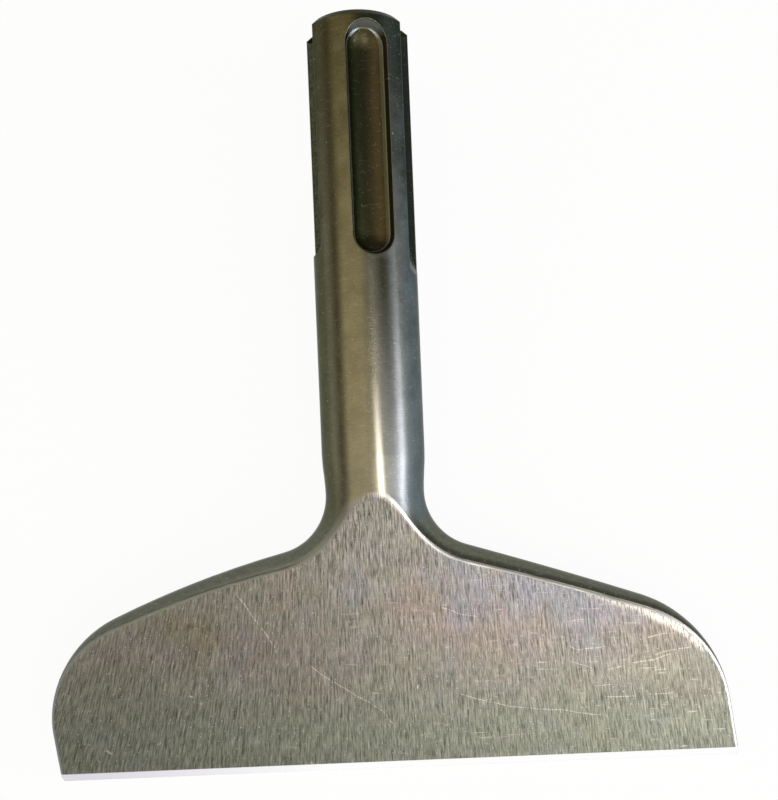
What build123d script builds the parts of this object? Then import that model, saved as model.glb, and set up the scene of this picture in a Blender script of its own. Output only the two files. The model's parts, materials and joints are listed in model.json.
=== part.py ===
from build123d import *
from math import acos, asin, atan, cos, degrees, radians, sin, sqrt, tan
import os

# Wide tile chisel forged in one piece, in millimetres, lying at rest on one of its ground faces.
# The origin is the centre of the struck end, and stations are distances from it along the shank.
# It is made with the shank along +Y and then tilted down to rest. X runs across the blade.

# Turned shank
shank_diameter = 18.0
shank_length = 74.0
end_chamfer = 1.0
neck_length = 7.0
neck_reduction = 0.4

# Closed locking grooves, one on each side of the shank
lock_start = 1.9
lock_length = 38.9
lock_width = 7.5
lock_depth = 3.6
lock_wall_depth = 2.2
lock_wall_draft = 16.0
lock_ledge = 0.12
groove_turn = 12.5

# Open drive slots: a wide one on one side, and a narrower pair on the other
wide_slot_width = 7.2
wide_slot_length = 35.0
wide_slot_cutter = 6.0
pair_slot_width = 5.6
pair_slot_length = 34.0
pair_slot_cutter = 22.0
pair_slot_spread = 26.4
drive_depth = 2.2

# Forged blade: the bar's round is led down and out along a core line on each side
blade_height = 48.2
neck_bend_radius = 18.9
long_neck_turn = 72.6
long_shoulder_turn = 2.0
long_corner_radius = 12.7
long_reach = 61.5
long_lean = 7.5
short_neck_turn = 76.3
short_shoulder_turn = 10.4
short_corner_radius = 9.8
short_reach = 56.2
short_lean = -7.5

# Ground faces and the cutting edge
face_lead = 0.4
face_taper = 5.0
hollow_radius = 70.0
edge_thickness = 4.5
edge_bevel = 45.0
edge_land = 0.6
face_edge_radius = 0.8

# How far cuts are carried past the surfaces they break through
overrun = 1.0
clear = 5.0
hollow_over_turn = 5.0

# Positions and sizes that follow from the ones above
shank_radius = shank_diameter / 2
rim_radius = shank_radius - neck_reduction
blade_start = shank_length + neck_length
edge_station = blade_start + blade_height
half_edge = edge_thickness / 2
bevel_length = (edge_thickness - edge_land) / 2 / tan(radians(edge_bevel))
arris_station = edge_station - bevel_length
face_start = blade_start - face_lead
face_rise = rim_radius - half_edge
rest_tilt = degrees(atan(face_rise / (arris_station - face_start)))


def radial_plane(angle):
    """Plane through the shank's axis: its x is the station, its y the distance from the axis"""
    return Plane(
        origin=(0, 0, 0),
        x_dir=(0, 1, 0),
        z_dir=(sin(radians(angle)), 0, -cos(radians(angle))),
    )


def shoulder_radius(neck_turn, shoulder_turn, corner_radius, reach, lean):
    """Core radius of the shoulder run that brings the blade's side to its reach at the edge"""
    start_turn = radians(neck_turn)
    end_turn = radians(neck_turn - shoulder_turn)
    mid_turn = (start_turn + end_turn) / 2
    side_turn = radians(lean)
    neck_x = neck_bend_radius * (1 - cos(start_turn))
    neck_y = blade_start + neck_bend_radius * sin(start_turn)
    corner_x = corner_radius * (cos(side_turn) - cos(end_turn))
    corner_y = corner_radius * (sin(end_turn) - sin(side_turn))
    side_drop = edge_station - neck_y - corner_y
    core_reach = reach - rim_radius / cos(side_turn)
    missing = core_reach - neck_x - corner_x - side_drop * tan(side_turn)
    chord = missing / (sin(mid_turn) - cos(mid_turn) * tan(side_turn))
    return chord / 2 / sin(radians(shoulder_turn) / 2)


def blade_half(side, neck_turn, shoulder_turn, corner_radius, reach, lean):
    """Half of the forged blank: the bar's half round led along the core line, and the web inside it"""
    with BuildPart() as half:
        with BuildLine() as core:
            neck = JernArc((0, blade_start), (0, 1), neck_bend_radius, -side * neck_turn)
            shoulder_core = shoulder_radius(neck_turn, shoulder_turn, corner_radius, reach, lean)
            shoulder = JernArc(neck @ 1, neck % 1, shoulder_core, side * shoulder_turn)
            corner_turn = neck_turn - shoulder_turn - lean
            corner = JernArc(shoulder @ 1, shoulder % 1, corner_radius, side * corner_turn)
            side_end = edge_station + overrun
            side_x = (corner @ 1).X + side * (side_end - (corner @ 1).Y) * tan(radians(lean))
            Line(corner @ 1, (side_x, side_end))
        with BuildSketch(Plane.ZX.offset(blade_start)):
            with BuildLine():
                Line((-rim_radius, 0), (rim_radius, 0))
                CenterArc((0, 0), rim_radius, 0, side * 180)
            make_face()
        sweep(path=core.wire())
        with BuildSketch():
            with BuildLine():
                add(core.line)
                Line((side_x, side_end), (0, side_end))
                Line((0, side_end), (0, blade_start))
            make_face()
        extrude(amount=rim_radius, both=True)
    return half.part


# Locking groove's cutter, laid along a radial plane: a round-bottomed, ball-ended channel
# kept below the wall's foot, and the drafted pocket above it
with BuildPart() as lock_cutter:
    wall_foot = shank_radius - lock_wall_depth
    foot_half_width = lock_width / 2 - lock_wall_depth * tan(radians(lock_wall_draft))
    ball_half_width = foot_half_width - lock_ledge
    ball_depth = lock_depth - lock_wall_depth
    ball_radius = (ball_half_width**2 + ball_depth**2) / (2 * ball_depth)
    ball_axis = shank_radius - lock_depth + ball_radius
    lock_middle = lock_start + lock_length / 2
    with BuildSketch(Plane(origin=(lock_middle, ball_axis, 0))):
        SlotOverall(lock_length - lock_width + 2 * ball_radius, 2 * ball_radius)
        split(bisect_by=Plane.XZ)
    revolve(axis=Axis((0, ball_axis, 0), (1, 0, 0)))
    split(bisect_by=Plane(origin=(0, wall_foot, 0), z_dir=(0, -1, 0)))
    with BuildSketch(Plane(origin=(lock_middle, shank_radius, 0), x_dir=(1, 0, 0), z_dir=(0, 1, 0))):
        SlotOverall(lock_length, lock_width)
    extrude(amount=-lock_wall_depth, taper=lock_wall_draft)

with BuildPart() as chisel:
    # Turned shank with the struck end's chamfer, and the neck where the forging starts
    with BuildSketch():
        with BuildLine():
            Polyline(
                (0, blade_start),
                (0, 0),
                (shank_radius - end_chamfer, 0),
                (shank_radius, end_chamfer),
                (shank_radius, shank_length),
            )
            Spline(
                (shank_radius, shank_length),
                (rim_radius, blade_start),
                tangents=((0, 1), (0, 1)),
            )
            Line((rim_radius, blade_start), (0, blade_start))
        make_face()
    revolve(axis=Axis.Y)
    short_side = (short_neck_turn, short_shoulder_turn, short_corner_radius, short_reach, short_lean)
    long_side = (long_neck_turn, long_shoulder_turn, long_corner_radius, long_reach, long_lean)
    add(blade_half(1, *short_side))
    add(blade_half(-1, *long_side))

    # Both faces ground flat, with a hollow where the wheel runs out up the bar
    rise = face_rise - (arris_station - face_start) * tan(radians(face_taper))
    rise_square = rise * cos(radians(face_taper))
    hollow_run = sqrt(2 * hollow_radius * rise_square - rise_square**2)
    hollow_end = face_start + rise * sin(radians(face_taper)) * cos(radians(face_taper))
    hollow_end += hollow_run * cos(radians(face_taper))
    hollow_end_height = half_edge + (arris_station - hollow_end) * tan(radians(face_taper))
    hollow_turn = degrees(asin(hollow_run / hollow_radius)) + hollow_over_turn
    with BuildSketch(Plane.YZ):
        with BuildLine():
            bevel = Line((edge_station, edge_land / 2), (arris_station, half_edge))
            flat = Line(bevel @ 1, (hollow_end, hollow_end_height))
            hollow = JernArc(flat @ 1, flat % 1, hollow_radius, -hollow_turn)
            Polyline(
                hollow @ 1,
                ((hollow @ 1).X, shank_radius + clear),
                (edge_station + clear, shank_radius + clear),
                (edge_station + clear, 0),
                (edge_station, 0),
                bevel @ 0,
            )
        make_face()
        mirror(about=Plane.XZ)
    extrude(amount=long_reach + clear, both=True, mode=Mode.SUBTRACT)

    # The ground faces meet the forged rim in a narrow rounded edge
    ground_edges = chisel.edges(Select.LAST).filter_by(Axis.X, reverse=True)
    rim_edges = [
        edge
        for edge in ground_edges.filter_by(GeomType.CIRCLE, reverse=True)
        if abs(edge.center().Z) > half_edge
    ]
    fillet(rim_edges, face_edge_radius)

    # Locking grooves on opposite sides
    for angle in (90 + groove_turn, 270 + groove_turn):
        add(radial_plane(angle).location * lock_cutter.part, mode=Mode.SUBTRACT)

    # Drive slots, open at the struck end, each with its milling cutter's run-out
    pair_angle = 180 + groove_turn
    slot_floor = shank_radius - drive_depth
    for angle, width, length, cutter in (
        (groove_turn, wide_slot_width, wide_slot_length, wide_slot_cutter),
        (pair_angle - pair_slot_spread, pair_slot_width, pair_slot_length, pair_slot_cutter),
        (pair_angle + pair_slot_spread, pair_slot_width, pair_slot_length, pair_slot_cutter),
    ):
        run_out = degrees(acos(1 - (drive_depth + overrun) / cutter))
        with BuildSketch(radial_plane(angle)):
            with BuildLine():
                bed = Line((-overrun, slot_floor), (length, slot_floor))
                ramp = JernArc(bed @ 1, bed % 1, cutter, run_out)
                Polyline(ramp @ 1, (-overrun, (ramp @ 1).Y), bed @ 0)
            make_face()
        extrude(amount=width / 2, both=True, mode=Mode.SUBTRACT)

    # Tilted as it lies, on the neck's crest and the lower face's arris
    add(chisel.part.rotate(Axis.X, -rest_tilt), mode=Mode.REPLACE)

os.makedirs("parts", exist_ok=True)
chisel.part.label = "chisel"
export_step(chisel.part, "parts/chisel.step")
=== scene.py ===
import json
from math import atan2, cos, pi, radians, sin, tan

import bpy
from mathutils import Matrix, Vector


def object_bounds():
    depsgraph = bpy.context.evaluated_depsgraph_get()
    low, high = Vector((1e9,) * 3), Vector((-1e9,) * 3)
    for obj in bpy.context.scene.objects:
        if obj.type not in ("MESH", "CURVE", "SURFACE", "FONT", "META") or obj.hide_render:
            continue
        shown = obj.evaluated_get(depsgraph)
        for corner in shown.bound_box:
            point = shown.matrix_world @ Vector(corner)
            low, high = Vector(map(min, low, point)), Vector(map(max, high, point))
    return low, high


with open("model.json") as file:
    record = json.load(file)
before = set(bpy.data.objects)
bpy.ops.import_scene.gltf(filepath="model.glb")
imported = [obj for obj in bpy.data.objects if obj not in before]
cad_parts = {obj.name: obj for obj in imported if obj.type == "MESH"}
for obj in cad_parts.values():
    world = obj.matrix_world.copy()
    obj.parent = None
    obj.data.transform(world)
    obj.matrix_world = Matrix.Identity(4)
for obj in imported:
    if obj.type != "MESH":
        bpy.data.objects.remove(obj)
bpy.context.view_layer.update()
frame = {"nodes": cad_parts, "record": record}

steel = frame["nodes"]["chisel"]
scene = bpy.context.scene
scene.view_settings.view_transform = "Standard"

MM = 1000  # mm in a metre

# The chisel's own axes: it lies tilted, and the record's struck end says by how much.
# Places below are (across, station, height): across is to the photograph's right, station runs from
# the struck end to the cutting edge, and height is above the shank's axis, all in mm.
struck_end = next(m for m in frame["record"]["mounts"] if m["name"] == "struck_end")
tilt = atan2(struck_end["axis"][2], -struck_end["axis"][1])
AXES = Matrix(((-1, 0, 0), (0, cos(tilt), sin(tilt)), (0, -sin(tilt), cos(tilt))))

# Sizes of the part that the steel's pattern follows, in mm
SHANK_RADIUS = 9.0
CHAMFER = 1.0
WALL_FOOT_RADIUS = 6.8
PAST_SLOTS = 48.0
NECK = 80.0
BLADE_START = 81.0
HOLLOW_END = 98.42
HOLLOW_RADIUS = 70.0
ARRIS_STATION = 127.25
HALF_EDGE = 2.25
FACE_TAPER = tan(radians(5.0))

# Kinds of node that come up often
MATH = "ShaderNodeMath"
VECTOR = "ShaderNodeVectorMath"
RANGE = "ShaderNodeMapRange"
MIX = "ShaderNodeMix"
NOISE = "ShaderNodeTexNoise"
GROUP = "ShaderNodeGroup"


def place(across, station, height):
    return AXES @ Vector((across, station, height)) / MM


def colour(code):
    """Linear colour from an sRGB hex code"""
    parts = [int(code[i:i + 2], 16) / 255 for i in (1, 3, 5)]
    return tuple(c / 12.92 if c < 0.04045 else ((c + 0.055) / 1.055) ** 2.4 for c in parts) + (1,)


def node(tree, kind, inputs=(), **settings):
    """Adds a node, sets it, and links or sets its inputs"""
    made = tree.nodes.new(kind)
    for name, value in settings.items():
        setattr(made, name, value)
    for name, value in dict(inputs).items():
        if isinstance(name, str):
            socket = next(s for s in made.inputs if s.enabled and s.name == name)
        else:
            socket = made.inputs[name]
        if isinstance(value, bpy.types.Node):
            value = next(s for s in value.outputs if s.enabled)
        if isinstance(value, bpy.types.NodeSocket):
            tree.links.new(value, socket)
        else:
            socket.default_value = value
    return made


# Camera, looking straight down on the chisel from close by
CAMERA_FOOT = (3.14, 64.98)
CAMERA_HEIGHT = 150.6
CAMERA_ROLL = radians(2.36)
camera = bpy.data.objects.new("camera", bpy.data.cameras.new("camera"))
scene.collection.objects.link(camera)
right = AXES @ Vector((cos(CAMERA_ROLL), sin(CAMERA_ROLL), 0))
back = AXES @ Vector((0, 0, 1))
camera.matrix_world = Matrix((right, back.cross(right), back)).transposed().to_4x4()
camera.location = place(*CAMERA_FOOT, CAMERA_HEIGHT)
camera.data.lens = 38.7
camera.data.clip_start = 0.005
scene.camera = camera


def softbox(name, lateral, slope, distance, size, strength, tint):
    """Area lamp facing the neck. lateral is its angle from overhead towards the right, in degrees,
    slope how far it leans towards the blade, distance and size are in mm, and strength is how
    bright it is seen in the steel, where 1 is white"""
    lamp = bpy.data.lights.new(name, "AREA")
    lamp.shape = "RECTANGLE"
    lamp.size, lamp.size_y = size[0] / MM, size[1] / MM
    lamp.energy = strength * pi * lamp.size * lamp.size_y
    lamp.color = colour(tint)[:3]
    box = bpy.data.objects.new(name, lamp)
    scene.collection.objects.link(box)
    turn = radians(lateral)
    way = Vector((sin(turn), slope, cos(turn))).normalized()
    towards = AXES @ way
    along = (AXES @ Vector((0, 1, 0))).normalized()
    across = along.cross(towards).normalized()
    box.matrix_world = Matrix((across, towards.cross(across), towards)).transposed().to_4x4()
    box.location = place(*(Vector((0, NECK, 0)) + way * distance))


# Soft studio light: a warm box on the left and a cool one on the right, which leave the struck end
# dim, two narrow strips that draw the neck's bright lines, a weak box that carries the cool line on
# up the shank, and a key over the right of the blade
softbox("warm_left", -33, -0.22, 420, (440, 460), 0.95, "#f2e6bc")
softbox("cool_right", 44, 0.30, 420, (300, 250), 1.0, "#e4ebfa")
softbox("cream_strip", 12.5, 0.18, 450, (54, 170), 9.0, "#fff8ee")
softbox("blue_strip", 68, 0.19, 430, (62, 215), 12.0, "#e6ecff")
softbox("blue_fade", 66, -0.25, 430, (90, 170), 0.9, "#cfe4ec")
softbox("key", 24, 0.50, 430, (190, 150), 2.0, "#fff6ee")

# Pale floor: white to the eye and to what the steel mirrors, with a light shadow under the chisel
WHITE_SHARE = 0.94
floor_paint = bpy.data.materials.new("white_board")
floor_paint.use_nodes = True
tree = floor_paint.node_tree
tree.nodes.clear()
path = node(tree, "ShaderNodeLightPath")
seen = path.outputs["Is Camera Ray"]
for ray in ("Is Glossy Ray", "Is Transmission Ray"):
    seen = node(tree, MATH, {0: seen, 1: path.outputs[ray]}, operation="MAXIMUM")
share = node(tree, MATH, {0: seen, 1: WHITE_SHARE}, operation="MULTIPLY")
board = node(tree, "ShaderNodeBsdfDiffuse", {"Color": colour("#f4f4f2")})
glow = node(tree, "ShaderNodeEmission", {"Color": colour("#ffffff"), "Strength": 1.0})
mix = node(tree, "ShaderNodeMixShader", {0: share, 1: board, 2: glow})
node(tree, "ShaderNodeOutputMaterial", {"Surface": mix})
bpy.ops.mesh.primitive_plane_add(size=6, location=(0, 0.06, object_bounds()[0][2]))
floor = bpy.context.object
floor.name = "floor"
floor.data.materials.append(floor_paint)

# Studio: pale walls, brighter beyond the blade, and a ceiling that is bright over the blade and
# dim over the struck end
world = bpy.data.worlds.new("studio")
scene.world = world
world.use_nodes = True
tree = world.node_tree
tree.nodes.clear()
way = node(tree, "ShaderNodeTexCoord")
parts = node(tree, "ShaderNodeSeparateXYZ", {0: way.outputs["Generated"]})
leftward, bladeward, upward = parts.outputs
ceiling = node(tree, RANGE, {
    "Value": bladeward, "From Min": -0.15, "From Max": 0.3, "To Min": 0.16, "To Max": 0.85,
}, interpolation_type="SMOOTHSTEP")
rightward = node(tree, RANGE, {
    "Value": leftward, "From Min": 0.5, "From Max": -0.5, "To Min": 0.62, "To Max": 1.15,
})
ceiling = node(tree, MATH, {0: ceiling, 1: rightward}, operation="MULTIPLY")
overhead = node(tree, RANGE, {
    "Value": upward, "From Min": 0.15, "From Max": 0.6,
}, interpolation_type="SMOOTHSTEP")
walls = node(tree, RANGE, {
    "Value": bladeward, "From Min": 0.0, "From Max": 0.7, "To Min": 0.72, "To Max": 1.12,
})
level = node(tree, MIX, {"Factor": overhead, "A": walls, "B": ceiling})
sky = node(tree, "ShaderNodeBackground", {"Color": colour("#f6f6f4"), "Strength": level})
node(tree, "ShaderNodeOutputWorld", {"Surface": sky})

# Scratch: how near a place on the steel is to a line from Start to End, in mm
scratch = bpy.data.node_groups.new("scratch", "ShaderNodeTree")
for name, kind in (("Place", "Vector"), ("Start", "Vector"), ("End", "Vector"), ("Width", "Float")):
    scratch.interface.new_socket(name, in_out="INPUT", socket_type="NodeSocket" + kind)
scratch.interface.new_socket("Scratch", in_out="OUTPUT", socket_type="NodeSocketFloat")
given = node(scratch, "NodeGroupInput").outputs
run = node(scratch, VECTOR, {0: given["End"], 1: given["Start"]}, operation="SUBTRACT")
reach = node(scratch, VECTOR, {0: given["Place"], 1: given["Start"]}, operation="SUBTRACT")
along = node(scratch, VECTOR, {0: reach, 1: run}, operation="DOT_PRODUCT")
whole = node(scratch, VECTOR, {0: run, 1: run}, operation="DOT_PRODUCT")
share = node(scratch, MATH, {0: along, 1: whole}, operation="DIVIDE", use_clamp=True)
foot = node(scratch, VECTOR, {0: run, "Scale": share}, operation="SCALE")
gap = node(scratch, VECTOR, {0: reach, 1: foot}, operation="DISTANCE")
mark = node(scratch, RANGE, {
    "Value": gap, "From Min": given["Width"], "From Max": 0.0,
}, interpolation_type="SMOOTHSTEP")
node(scratch, "NodeGroupOutput", {"Scratch": mark})

# Forged tool steel: oil-dark where it was turned and forged, coarsely ground and greyer on the
# faces, fresh and bright on the cutting edge's bevel, with the light marks of handling
forged_steel = bpy.data.materials.new("forged_tool_steel")
forged_steel.use_nodes = True
tree = forged_steel.node_tree
tree.nodes.clear()
own = node(tree, "ShaderNodeTexCoord")
lying = node(tree, "ShaderNodeVectorRotate", {
    "Vector": own.outputs["Object"], "Angle": tilt,
}, rotation_type="X_AXIS")
place_mm = node(tree, VECTOR, {0: lying, 1: (-MM, MM, MM)}, operation="MULTIPLY")
across, station, height = node(tree, "ShaderNodeSeparateXYZ", {0: place_mm}).outputs
depth = node(tree, MATH, {0: height}, operation="ABSOLUTE")
upper = node(tree, MATH, {0: height, 1: 0.0}, operation="GREATER_THAN")
flat_place = node(tree, "ShaderNodeCombineXYZ", {"X": across, "Y": station})

# Where the steel was ground: the face's height falls by its taper, after the wheel's hollow.
# rise is how far the steel stands above that height: 0 on the face, and negative on forged skin.
left_over = node(tree, MATH, {0: HOLLOW_END, 1: station}, operation="SUBTRACT")
left_over = node(tree, MATH, {0: left_over, 1: 0.0}, operation="MAXIMUM")
hollow = node(tree, MATH, {0: left_over, 1: left_over}, operation="MULTIPLY")
flat = node(tree, MATH, {
    0: station, 1: -FACE_TAPER, 2: HALF_EDGE + ARRIS_STATION * FACE_TAPER,
}, operation="MULTIPLY_ADD")
face_height = node(tree, MATH, {
    0: hollow, 1: 1 / (2 * HOLLOW_RADIUS), 2: flat,
}, operation="MULTIPLY_ADD")
rise = node(tree, MATH, {0: depth, 1: face_height}, operation="SUBTRACT")
ground = node(tree, RANGE, {
    "Value": rise, "From Min": -0.22, "From Max": -0.07,
}, interpolation_type="SMOOTHSTEP")
bevel = node(tree, RANGE, {
    "Value": station, "From Min": ARRIS_STATION - 0.05, "From Max": ARRIS_STATION + 0.05,
})

# The way of the grinding belt, fanning out a little down the blade, and more on its left
spread = node(tree, RANGE, {
    "Value": across, "From Min": -35.0, "From Max": 10.0, "To Min": 0.0075, "To Max": 0.003,
})
fan = node(tree, MATH, {0: station, 1: NECK}, operation="SUBTRACT")
fan = node(tree, MATH, {0: fan, 1: spread, 2: 1.0}, operation="MULTIPLY_ADD")
line = node(tree, MATH, {0: across, 1: fan}, operation="DIVIDE")
side = node(tree, MATH, {0: height}, operation="SIGN")
wheel_way = node(tree, "ShaderNodeCombineXYZ", {"X": line, "Y": station, "Z": side})

# Patterns longer one way than another, by how many cells there are to a mm each way. The belt's
# streaks are 0.2 to 0.3 mm wide and a few mm long, and the lathe's rings 0.2 mm apart. Both are
# drawn coarser than the real ones, about 0.1 mm, which would not show.
LONG_PATTERNS = {
    "coarse": (wheel_way, (3.6, 0.2, 9), {"Detail": 2.0, "Roughness": 0.65}),
    "fine": (wheel_way, (5.5, 0.6, 5), {"Detail": 2.0, "Roughness": 0.6}),
    "dark_lines": (wheel_way, (4.2, 0.26, 7), {"Detail": 1.0}),
    "flecks": (wheel_way, (3.4, 2.2, 3), {"Detail": 1.0}),
    "hairs": (place_mm, (0.34, 2.6, 1), {"Detail": 3.0, "Distortion": 0.5}),
    "rings": (place_mm, (0.8, 5.0, 0.8), {"Detail": 3.0, "Roughness": 0.7}),
    "grime": (place_mm, (1, 0.3, 1), {"Scale": 0.6, "Detail": 4.0, "Roughness": 0.65}),
}
# Patterns alike every way, by cells to a mm
EVEN_PATTERNS = {
    "wander": {"Scale": 0.14, "Detail": 2.0},
    "mottle": {"Scale": 0.15, "Detail": 4.0, "Roughness": 0.6},
    "patina": {"Scale": 0.22, "Detail": 4.0, "Roughness": 0.6},
    "scale_marks": {"Scale": 1.3, "Detail": 4.0, "Roughness": 0.7},
    "dust": {"Scale": 2.4, "Detail": 2.0, "Roughness": 0.7},
}
noise = {}
for name, (way, per_mm, inputs) in LONG_PATTERNS.items():
    way = node(tree, VECTOR, {0: way, 1: per_mm}, operation="MULTIPLY")
    noise[name] = node(tree, NOISE, {"Vector": way, "Scale": 1.0, **inputs})
for name, inputs in EVEN_PATTERNS.items():
    noise[name] = node(tree, NOISE, {"Vector": place_mm, **inputs})

# Streaks of the coarse grinding belt
streaks = node(tree, MATH, {0: noise["coarse"], 1: noise["fine"]}, operation="ADD")
streaks = node(tree, RANGE, {
    "Value": streaks, "From Min": 0.76, "From Max": 1.24, "To Min": 0.0, "To Max": 1.0,
}, clamp=False)
dark_lines = node(tree, RANGE, {
    "Value": noise["dark_lines"], "From Min": 0.56, "From Max": 0.64,
})

# Light specks and fine scratches of use on the faces
flecks = node(tree, RANGE, {"Value": noise["flecks"], "From Min": 0.66, "From Max": 0.76})
hairs = node(tree, RANGE, {"Value": noise["hairs"], "From Min": 0.63, "From Max": 0.78})
rightmost = node(tree, RANGE, {
    "Value": across, "From Min": -25.0, "From Max": 35.0, "To Min": 0.3, "To Max": 1.0,
})
hairs = node(tree, MATH, {0: hairs, 1: rightmost}, operation="MULTIPLY")

# Single scratches and pits that the photograph shows: start, end and half width
SCRATCHES = (
    ((-24.2, 96.9), (-17.7, 106.2), 0.16),
    ((-12.2, 109.8), (-6.3, 114.1), 0.13),
    ((-6.3, 114.1), (-0.4, 118.1), 0.13),
    ((-0.4, 118.1), (1.5, 120.6), 0.12),
    ((13.2, 116.0), (17.8, 117.6), 0.14),
    ((17.8, 117.6), (30.3, 119.4), 0.13),
    ((30.3, 119.4), (37.4, 120.8), 0.12),
    ((32.3, 108.3), (33.5, 108.9), 0.14),
    ((33.5, 108.9), (38.4, 108.5), 0.12),
    ((43.0, 111.3), (49.3, 110.5), 0.15),
    ((47.0, 110.1), (52.5, 109.3), 0.12),
    ((39.1, 112.3), (41.5, 111.8), 0.12),
    ((45.1, 107.2), (48.6, 106.8), 0.14),
    ((36.5, 115.5), (39.3, 115.3), 0.12),
    ((46.9, 112.8), (49.1, 112.8), 0.12),
    ((38.0, 117.4), (43.3, 117.6), 0.12),
    ((32.4, 111.0), (36.3, 112.1), 0.12),
    ((45.7, 117.2), (50.0, 117.1), 0.11),
    ((10.7, 100.6), (16.7, 102.3), 0.13),
    ((-47.6, 123.7), (-47.0, 124.2), 0.30),
    ((6.0, 114.6), (6.3, 114.2), 0.32),
    ((-12.8, 126.8), (-12.6, 126.9), 0.30),
    ((-32.7, 114.3), (-32.3, 114.5), 0.22),
    ((34.0, 119.0), (34.8, 119.1), 0.22),
    ((5.4, 11.4), (5.7, 11.5), 0.22),
    ((5.4, 20.2), (5.5, 20.4), 0.16),
)
# A scratch isn't quite straight, and a heat tint's border strays further: how far, in mm
SCRATCH_WANDER = (1.8, 1.8, 0)
TINT_WANDER = (9, 9, 0)  # times the scratches' own
centred = node(tree, VECTOR, {
    0: noise["wander"].outputs["Color"], 1: (0.5, 0.5, 0.5),
}, operation="SUBTRACT")
wander = node(tree, VECTOR, {0: centred, 1: SCRATCH_WANDER}, operation="MULTIPLY")
far = node(tree, VECTOR, {0: wander, 1: TINT_WANDER}, operation="MULTIPLY")
tint_place = node(tree, VECTOR, {0: flat_place, 1: far}, operation="ADD")
scratch_place = node(tree, VECTOR, {0: flat_place, 1: wander}, operation="ADD")
marks = 0.0
for start, end, width in SCRATCHES:
    mark = node(tree, GROUP, {
        "Place": scratch_place, "Start": (*start, 0), "End": (*end, 0), "Width": width,
    }, node_tree=scratch)
    marks = node(tree, MATH, {0: marks, 1: mark}, operation="MAXIMUM")
broken = node(tree, RANGE, {
    "Value": noise["fine"], "From Min": 0.42, "From Max": 0.56, "To Min": 0.15, "To Max": 1.0,
})
for factor in (upper, broken):
    marks = node(tree, MATH, {0: marks, 1: factor}, operation="MULTIPLY")

# Ground face: warm grey, mottled olive, brown and violet in patches of 5 to 10 mm
tints = node(tree, "ShaderNodeValToRGB", {"Fac": noise["mottle"]})
ramp = tints.color_ramp.elements
for stop, code in ((0.36, "#8a8885"), (0.46, "#8e8881"), (0.55, "#88867c"), (0.65, "#8e867d")):
    ramp.new(stop).color = colour(code)
ramp.remove(ramp[0])
ramp.remove(ramp[-1])

# Heat tints of the grinding, on both faces: start, end, half width and colour
HEAT_TINTS = (
    ((28.0, 97.5), (38.0, 103.0), 11.0, "#82869a"),
    ((13.0, 95.5), (17.0, 100.0), 8.0, "#82869a"),
    ((6.0, 101.0), (24.0, 108.5), 9.0, "#96857c"),
    ((-36.0, 103.0), (-29.0, 104.0), 7.0, "#83775c"),
    ((-22.0, 106.0), (-12.0, 112.0), 9.0, "#90817a"),
    ((44.0, 108.0), (54.0, 116.0), 8.0, "#96887c"),
)
TINT_STRENGTH = 0.4
for start, end, width, code in HEAT_TINTS:
    tint = node(tree, GROUP, {
        "Place": tint_place, "Start": (*start, 0), "End": (*end, 0), "Width": width,
    }, node_tree=scratch)
    tint = node(tree, MATH, {0: tint, 1: TINT_STRENGTH}, operation="MULTIPLY")
    tints = node(tree, MIX, {"Factor": tint, "A": tints, "B": colour(code)}, data_type="RGBA")
greener = node(tree, RANGE, {
    "Value": station, "From Min": 107.0, "From Max": 122.0, "To Max": 0.6,
})
tints = node(tree, MIX, {"Factor": greener, "A": tints, "B": colour("#7e8574")}, data_type="RGBA")

# The streaks' shade: stronger at the top of the face, which is also lighter, and painted light that
# makes its right lighter
FACE_LEVEL = 1.03
contrast = node(tree, RANGE, {
    "Value": station, "From Min": 84.0, "From Max": 100.0, "To Min": 1.35, "To Max": 0.95,
})
shade = node(tree, MATH, {0: streaks, 1: 0.5}, operation="SUBTRACT")
shade = node(tree, MATH, {0: shade, 1: contrast, 2: FACE_LEVEL}, operation="MULTIPLY_ADD")
darker = node(tree, RANGE, {"Value": dark_lines, "To Min": 1.0, "To Max": 0.84})
# painted light: the face is lighter towards its right
painted_light_right = node(tree, RANGE, {
    "Value": across, "From Min": -45.0, "From Max": 5.0, "To Min": 0.86, "To Max": 1.07,
})
lengthward = node(tree, RANGE, {
    "Value": station, "From Min": 83.0, "From Max": 99.0, "To Min": 1.16, "To Max": 0.9,
})
for factor in (darker, painted_light_right, lengthward):
    shade = node(tree, MATH, {0: shade, 1: factor}, operation="MULTIPLY")
face_steel = node(tree, MIX, {
    "Factor": 1.0, "A": tints, "B": shade,
}, data_type="RGBA", blend_type="MULTIPLY")

# Turned and forged skin: oil-dark, with painted reflections warm on the left and cool on the right,
# and painted shade that darkens it at the flanks and towards the struck end
lit_towards_neck = node(tree, RANGE, {"Value": station, "From Min": 5.0, "From Max": 75.0})
dirt = node(tree, RANGE, {
    "Value": noise["patina"], "From Min": 0.35, "From Max": 0.65, "To Min": -0.18, "To Max": 0.18,
})
lit_towards_neck = node(tree, MATH, {0: lit_towards_neck, 1: dirt}, operation="ADD", use_clamp=True)
tones = {}
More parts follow.
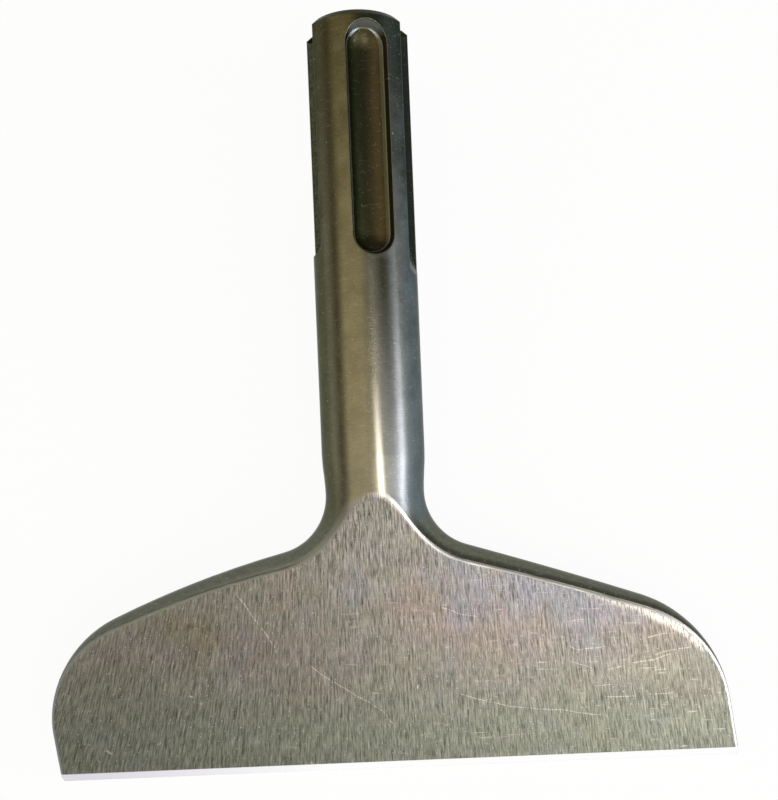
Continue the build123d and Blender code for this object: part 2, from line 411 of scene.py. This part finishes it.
# each tone goes from painted shade at the struck end to painted light at the neck
for name, oiled_in_shade, oiled_in_light in (
    ("warm_crest", "#5a5540", "#857f6c"),
    ("cool_crest", "#474c44", "#85847e"),
    ("olive_flank", "#3c3b2a", "#555541"),
    ("blue_flank", "#262e2a", "#626e72"),
):
    tones[name] = node(tree, MIX, {
        "Factor": lit_towards_neck, "A": colour(oiled_in_shade), "B": colour(oiled_in_light),
    }, data_type="RGBA")
on_right = node(tree, RANGE, {"Value": across, "From Min": 0.0, "From Max": 3.5})
crest = node(tree, MIX, {
    "Factor": on_right, "A": tones["warm_crest"], "B": tones["cool_crest"],
}, data_type="RGBA")
flanks = node(tree, MIX, {
    "Factor": on_right, "A": tones["olive_flank"], "B": tones["blue_flank"],
}, data_type="RGBA")
on_crest = node(tree, RANGE, {
    "Value": depth, "From Min": 5.2, "From Max": 7.8,
}, interpolation_type="SMOOTHSTEP")
skin = node(tree, MIX, {"Factor": on_crest, "A": flanks, "B": crest}, data_type="RGBA")
ring_shade = node(tree, RANGE, {
    "Value": noise["rings"], "From Min": 0.3, "From Max": 0.7, "To Min": 0.9, "To Max": 1.1,
}, clamp=False)
skin = node(tree, MIX, {
    "Factor": 1.0, "A": skin, "B": ring_shade,
}, data_type="RGBA", blend_type="MULTIPLY")

# Two dark lines along the shank are painted reflections, and the right one thins out towards the
# neck
left_line = node(tree, GROUP, {
    "Place": flat_place, "Start": (-4.9, 2, 0), "End": (-5.0, 86, 0), "Width": 1.6,
}, node_tree=scratch)
right_line = node(tree, GROUP, {
    "Place": flat_place, "Start": (3.0, 42, 0), "End": (3.5, 74, 0), "Width": 1.9,
}, node_tree=scratch)
neck_fade = node(tree, RANGE, {"Value": station, "From Min": 72.0, "From Max": 46.0})
right_line = node(tree, MATH, {0: right_line, 1: neck_fade}, operation="MULTIPLY")
dark_reflections = node(tree, MATH, {0: left_line, 1: right_line}, operation="MAXIMUM")
thin = node(tree, RANGE, {
    "Value": noise["patina"], "From Min": 0.35, "From Max": 0.6, "To Min": 0.45, "To Max": 0.78,
})
dark_reflections = node(tree, MATH, {0: dark_reflections, 1: thin}, operation="MULTIPLY")
skin = node(tree, MIX, {"Factor": dark_reflections, "A": skin, "B": colour("#403a20")}, data_type="RGBA")

# The forged rim outside the ground face is scaled and greener, with painted shade on its right next
# to the face
forged = node(tree, RANGE, {
    "Value": station, "From Min": BLADE_START + 2, "From Max": BLADE_START + 7,
})
scaled = node(tree, RANGE, {"Value": noise["scale_marks"], "From Min": 0.3, "From Max": 0.7})
scaled = node(tree, MIX, {
    "Factor": scaled, "A": colour("#56584c"), "B": colour("#6a6c5f"),
}, data_type="RGBA")
skin = node(tree, MIX, {"Factor": forged, "A": skin, "B": scaled}, data_type="RGBA")
rim_shade = node(tree, RANGE, {"Value": rise, "From Min": -2.0, "From Max": -1.0, "To Max": 0.7})
for factor in (forged, on_right):
    rim_shade = node(tree, MATH, {0: rim_shade, 1: factor}, operation="MULTIPLY")
skin = node(tree, MIX, {"Factor": rim_shade, "A": skin, "B": colour("#2a2c22")}, data_type="RGBA")

# Where the grooves and slots are cut: under the shank's surface, but not on the chamfer. deep is
# nearer to the axis than the chamfer comes.
around = node(tree, VECTOR, {0: place_mm, 1: (1, 0, 1)}, operation="MULTIPLY")
around = node(tree, VECTOR, {0: around}, operation="LENGTH")
cut = node(tree, RANGE, {
    "Value": around, "From Min": SHANK_RADIUS - 0.08, "From Max": SHANK_RADIUS - 0.25,
})
on_holder = node(tree, MATH, {0: station, 1: PAST_SLOTS}, operation="LESS_THAN")
deep = node(tree, MATH, {0: around, 1: SHANK_RADIUS - CHAMFER - 0.3}, operation="LESS_THAN")
not_chamfer = node(tree, MATH, {0: station, 1: CHAMFER + 0.2}, operation="GREATER_THAN")
not_chamfer = node(tree, MATH, {0: not_chamfer, 1: deep}, operation="MAXIMUM")
for factor in (on_holder, not_chamfer):
    cut = node(tree, MATH, {0: cut, 1: factor}, operation="MULTIPLY")

# The locking groove holds oil and brown grime, darker on its left; its wall is painted lighter on
# its right, with a painted highlight at its end
grime = node(tree, RANGE, {
    "Value": noise["grime"], "From Min": 0.3, "From Max": 0.7, "To Min": -0.25, "To Max": 0.25,
})
drift = node(tree, RANGE, {"Value": across, "From Min": -0.8, "From Max": 3.2})
grime = node(tree, MATH, {0: grime, 1: drift}, operation="ADD", use_clamp=True)
groove_steel = node(tree, MIX, {
    "Factor": grime, "A": colour("#31361f"), "B": colour("#4f4533"),
}, data_type="RGBA")
wall_steel = node(tree, MIX, {
    "Factor": on_right, "A": colour("#2b2f1d"), "B": colour("#66644f"),
}, data_type="RGBA")
end_highlight = node(tree, RANGE, {"Value": station, "From Min": 4.2, "From Max": 3.0})
wall_steel = node(tree, MIX, {
    "Factor": end_highlight, "A": wall_steel, "B": colour("#d4dade"),
}, data_type="RGBA")
on_wall = node(tree, RANGE, {
    "Value": around, "From Min": WALL_FOOT_RADIUS + 0.02, "From Max": WALL_FOOT_RADIUS + 0.1,
})
groove_steel = node(tree, MIX, {
    "Factor": on_wall, "A": groove_steel, "B": wall_steel,
}, data_type="RGBA")

# The drive slots at the shank's sides are dusty
outward = node(tree, MATH, {0: across}, operation="ABSOLUTE")
slots = node(tree, RANGE, {"Value": outward, "From Min": 6.0, "From Max": 6.4})
dust = node(tree, RANGE, {"Value": noise["dust"], "From Min": 0.4, "From Max": 0.65})
slot_steel = node(tree, MIX, {
    "Factor": dust, "A": colour("#525746"), "B": colour("#767c67"),
}, data_type="RGBA")
slot_steel = node(tree, MIX, {
    "Factor": on_right, "A": slot_steel, "B": colour("#363d39"),
}, data_type="RGBA")
groove_steel = node(tree, MIX, {
    "Factor": slots, "A": groove_steel, "B": slot_steel,
}, data_type="RGBA")
skin = node(tree, MIX, {"Factor": cut, "A": skin, "B": groove_steel}, data_type="RGBA")

# The chamfer is darkened with painted shade, and the struck end inside it is hammered bare
outer = node(tree, MATH, {0: 1.0, 1: deep}, operation="SUBTRACT")
chamfer = node(tree, MATH, {0: station, 1: CHAMFER + 0.05}, operation="LESS_THAN")
chamfer = node(tree, MATH, {0: chamfer, 1: outer}, operation="MULTIPLY")
skin = node(tree, MIX, {"Factor": chamfer, "A": skin, "B": colour("#2e3020")}, data_type="RGBA")
struck = node(tree, MATH, {0: station, 1: 0.05}, operation="LESS_THAN")
hammered = node(tree, RANGE, {"Value": noise["patina"], "From Min": 0.35, "From Max": 0.65})
hammered = node(tree, MIX, {
    "Factor": hammered, "A": colour("#6d6a60"), "B": colour("#a09c90"),
}, data_type="RGBA")
skin = node(tree, MIX, {"Factor": struck, "A": skin, "B": hammered}, data_type="RGBA")

# Sharp edges, where the skin has rubbed off
EDGE_RADIUS = 0.25  # mm
rounded = node(tree, "ShaderNodeBevel", {"Radius": EDGE_RADIUS / MM}, samples=4)
surface = node(tree, "ShaderNodeNewGeometry")
bend = node(tree, VECTOR, {0: rounded, 1: surface.outputs["Normal"]}, operation="DOT_PRODUCT")
edges = node(tree, RANGE, {"Value": bend, "From Min": 0.97, "From Max": 0.8, "To Max": 0.8})
skin = node(tree, MIX, {"Factor": edges, "A": skin, "B": colour("#8f8b77")}, data_type="RGBA")

steel_colour = node(tree, MIX, {"Factor": ground, "A": skin, "B": face_steel}, data_type="RGBA")

# Left of the top of the face the skin turns a soft tan towards it, a painted highlight on the
# rounded edge
on_blade = node(tree, RANGE, {
    "Value": station, "From Min": BLADE_START - 1, "From Max": BLADE_START + 1,
})
tan_highlight = node(tree, RANGE, {
    "Value": rise, "From Min": -1.5, "From Max": -0.3, "To Max": 0.8,
}, interpolation_type="SMOOTHSTEP")
on_tongue = node(tree, RANGE, {"Value": station, "From Min": 97.0, "From Max": 90.0})
on_left = node(tree, RANGE, {"Value": across, "From Min": 0.0, "From Max": -2.5})
not_ground = node(tree, MATH, {0: 1.0, 1: ground}, operation="SUBTRACT")
for factor in (on_tongue, on_left, on_blade, not_ground):
    tan_highlight = node(tree, MATH, {0: tan_highlight, 1: factor}, operation="MULTIPLY")
steel_colour = node(tree, MIX, {
    "Factor": tan_highlight, "A": steel_colour, "B": colour("#948c7a"),
}, data_type="RGBA")

# The rounded edge between face and rim gets a painted highlight: grey on the left, and bright on
# the right
edge_highlight = node(tree, RANGE, {"Value": rise, "From Min": -0.4, "From Max": -0.28})
edge_highlight_in = node(tree, RANGE, {"Value": rise, "From Min": -0.015, "From Max": -0.06})
for factor in (edge_highlight_in, on_blade):
    edge_highlight = node(tree, MATH, {0: edge_highlight, 1: factor}, operation="MULTIPLY")
brighter = node(tree, RANGE, {"Value": across, "From Min": -2.0, "From Max": 3.0})
edge_highlight_colour = node(tree, MIX, {
    "Factor": brighter, "A": colour("#8a8e90"), "B": colour("#f8f2e8"),
}, data_type="RGBA")
steel_colour = node(tree, MIX, {
    "Factor": edge_highlight, "A": steel_colour, "B": edge_highlight_colour,
}, data_type="RGBA")

# A line up the neck's crest is rubbed bare and carries a painted highlight, and the face along its
# right shoulder has a painted highlight
RUBBED_AND_GLINTS = (
    ((0.9, 58.0), (1.4, 80.5), 0.9),
    ((27.0, 95.5), (36.0, 98.4), 1.0),
    ((36.0, 98.4), (44.5, 101.9), 1.7),
    ((44.5, 101.9), (50.5, 105.3), 1.6),
    ((50.5, 105.3), (55.0, 109.4), 1.1),
)
NECK_SHARE = 0.65
bare_and_glint = 0.0
for start, end, width in RUBBED_AND_GLINTS:
    mark = node(tree, GROUP, {
        "Place": flat_place, "Start": (*start, 0), "End": (*end, 0), "Width": width,
    }, node_tree=scratch)
    bare_and_glint = node(tree, MATH, {0: bare_and_glint, 1: mark}, operation="MAXIMUM")
on_shank = node(tree, MATH, {0: 1.0, 1: on_blade}, operation="SUBTRACT")
not_rim = node(tree, RANGE, {"Value": rise, "From Min": -0.3, "From Max": -0.2})
not_rim = node(tree, MATH, {0: not_rim, 1: on_shank}, operation="MAXIMUM")
patchy = node(tree, RANGE, {
    "Value": noise["fine"], "From Min": 0.42, "From Max": 0.52, "To Min": 0.1, "To Max": 0.9,
})
patchy = node(tree, MIX, {"Factor": on_shank, "A": patchy, "B": NECK_SHARE})
fade_in = node(tree, RANGE, {"Value": station, "From Min": 60.0, "From Max": 74.0})
for factor in (upper, fade_in, patchy, not_rim):
    bare_and_glint = node(tree, MATH, {0: bare_and_glint, 1: factor}, operation="MULTIPLY")
# rubbed bare steel and painted highlight
steel_colour = node(tree, MIX, {
    "Factor": bare_and_glint, "A": steel_colour, "B": colour("#e6e0d4"),
}, data_type="RGBA")

# The specks, fine scratches and single scratches show bright metal, the specks less on the shank
SPECK_STRENGTH = 0.45
SCRATCH_STRENGTH = 0.6
bright = node(tree, MATH, {0: flecks, 1: hairs}, operation="MAXIMUM")
speckled = node(tree, RANGE, {"Value": ground, "To Min": 0.4, "To Max": 1.0})
for factor in (speckled, SPECK_STRENGTH):
    bright = node(tree, MATH, {0: bright, 1: factor}, operation="MULTIPLY")
marks = node(tree, MATH, {0: marks, 1: SCRATCH_STRENGTH}, operation="MULTIPLY")
bright = node(tree, MATH, {0: bright, 1: marks}, operation="MAXIMUM")
steel_colour = node(tree, MIX, {
    "Factor": bright, "A": steel_colour, "B": colour("#e6e1d8"),
}, data_type="RGBA")

# The bevel is freshly ground, and a little greyer at its left
fresh = node(tree, RANGE, {"Value": across, "From Min": -50.0, "From Max": -10.0})
fresh = node(tree, MIX, {
    "Factor": fresh, "A": colour("#dcd8e2"), "B": colour("#ffffff"),
}, data_type="RGBA")
steel_colour = node(tree, MIX, {
    "Factor": bevel, "A": steel_colour, "B": fresh,
}, data_type="RGBA")

# Gloss and relief: the skin is smoothest and the face roughest, and dust hides the slots' metal
SKIN_ROUGHNESS = 0.29
GROOVE_ROUGHNESS = 0.42
FACE_ROUGHNESS = 0.44
RELIEF_DEPTH = 0.03  # mm
roughness = node(tree, MIX, {"Factor": cut, "A": SKIN_ROUGHNESS, "B": GROOVE_ROUGHNESS})
roughness = node(tree, MIX, {"Factor": ground, "A": roughness, "B": FACE_ROUGHNESS})
dusty = node(tree, MATH, {0: slots, 1: cut}, operation="MULTIPLY")
bare = node(tree, RANGE, {"Value": dusty, "To Min": 1.0, "To Max": 0.25})
relief = node(tree, MIX, {"Factor": ground, "A": noise["rings"], "B": streaks})
strength = node(tree, RANGE, {"Value": ground, "To Min": 0.8, "To Max": 0.35})
bump = node(tree, "ShaderNodeBump", {
    "Height": relief, "Strength": strength, "Distance": RELIEF_DEPTH / MM, "Normal": rounded,
})
grazing = node(tree, MIX, {
    "Factor": bevel, "A": colour("#c6c6c2"), "B": colour("#ffffff"),
}, data_type="RGBA")
shader = node(tree, "ShaderNodeBsdfPrincipled", {
    "Base Color": steel_colour, "Metallic": bare, "Specular Tint": grazing,
    "Roughness": roughness, "Normal": bump,
})
node(tree, "ShaderNodeOutputMaterial", {"Surface": shader})
for slot in steel.material_slots:
    slot.material = forged_steel
